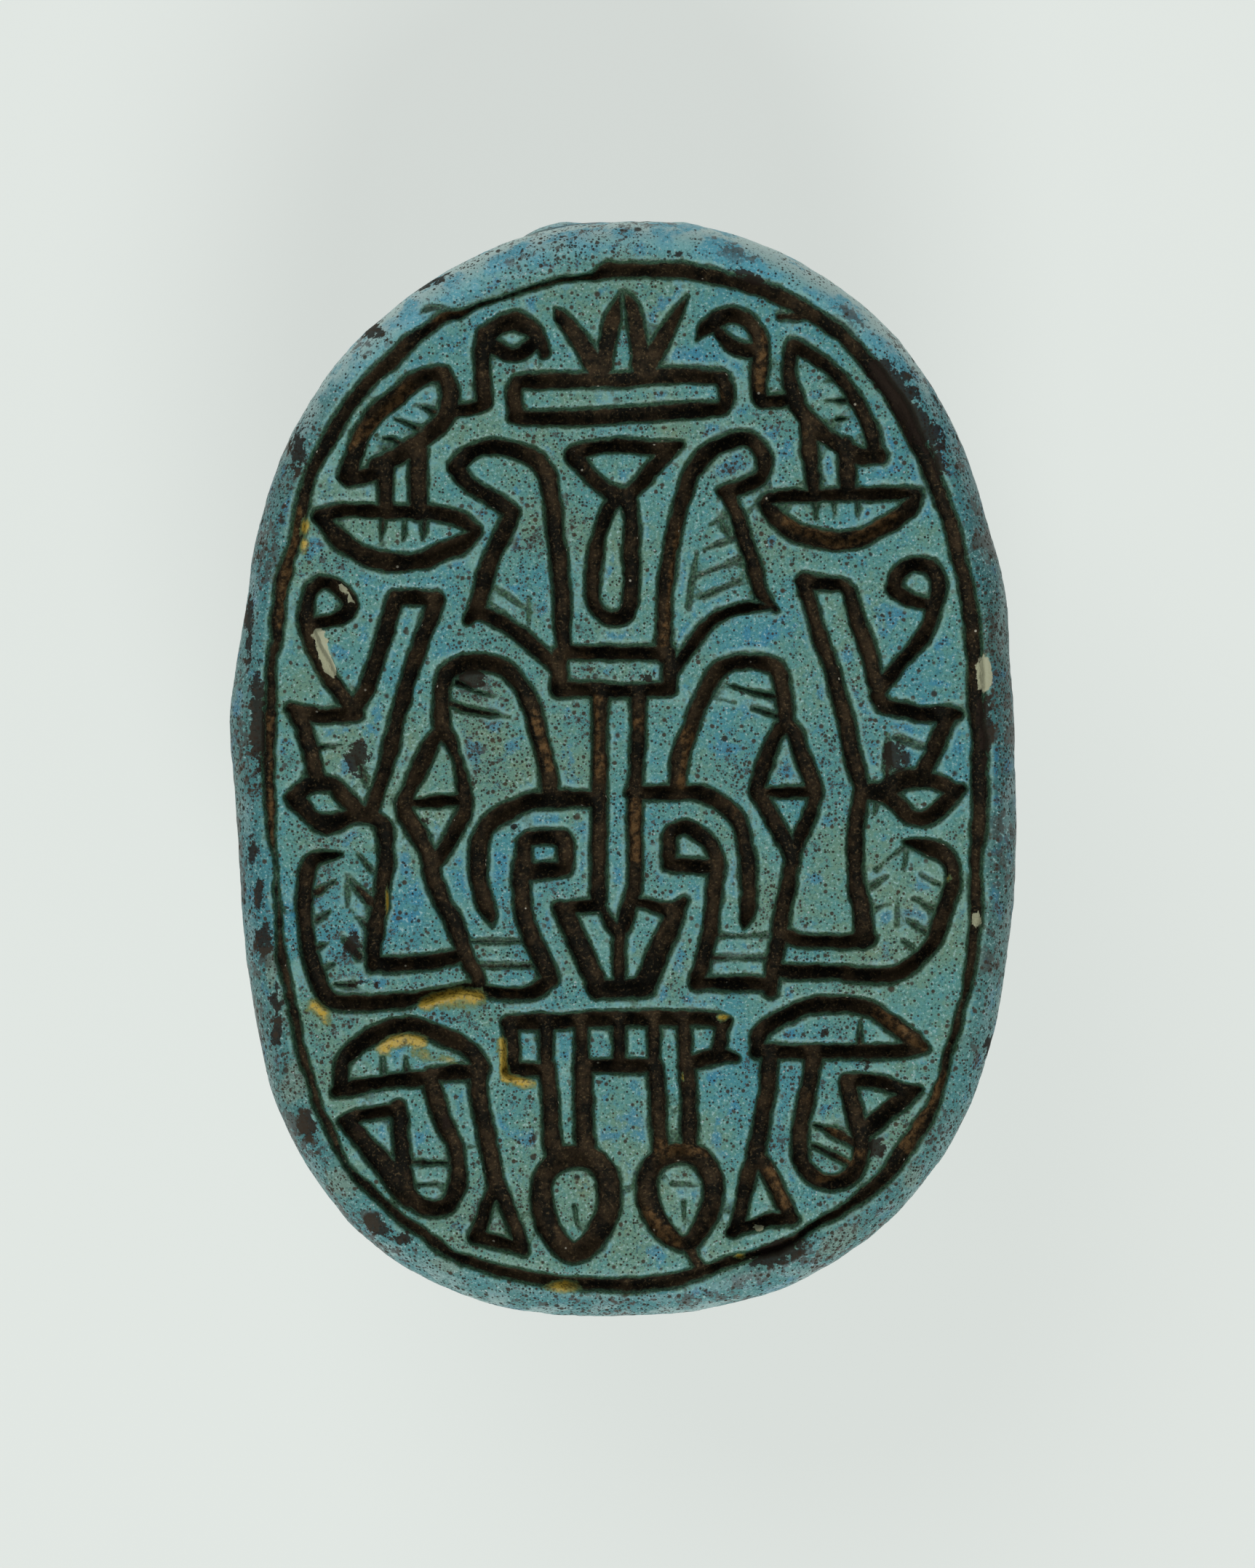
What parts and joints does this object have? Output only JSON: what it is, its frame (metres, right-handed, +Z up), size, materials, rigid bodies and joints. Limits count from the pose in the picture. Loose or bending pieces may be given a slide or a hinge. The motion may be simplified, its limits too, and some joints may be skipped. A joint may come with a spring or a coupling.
{
  "type": "scarab amulet",
  "caption": "Small glazed stone beetle amulet with a domed back, an oval engraved base and a string hole from head to tail.",
  "frame": {"origin": "middle of the object's footprint, on the flat spot of the beetle's back that it lies on", "axes": "+Z up, out of the engraved base; +Y towards the beetle's head; +X to the right seen from above"},
  "size_m": [0.0128, 0.018, 0.0078],
  "materials": {
    "glazed_stone": "worn matt blue-green glaze, pitted, with dark earth in the cuts"
  },
  "bodies": {
    "root": {"scarab": "glazed_stone"}
  },
  "joints": []
}
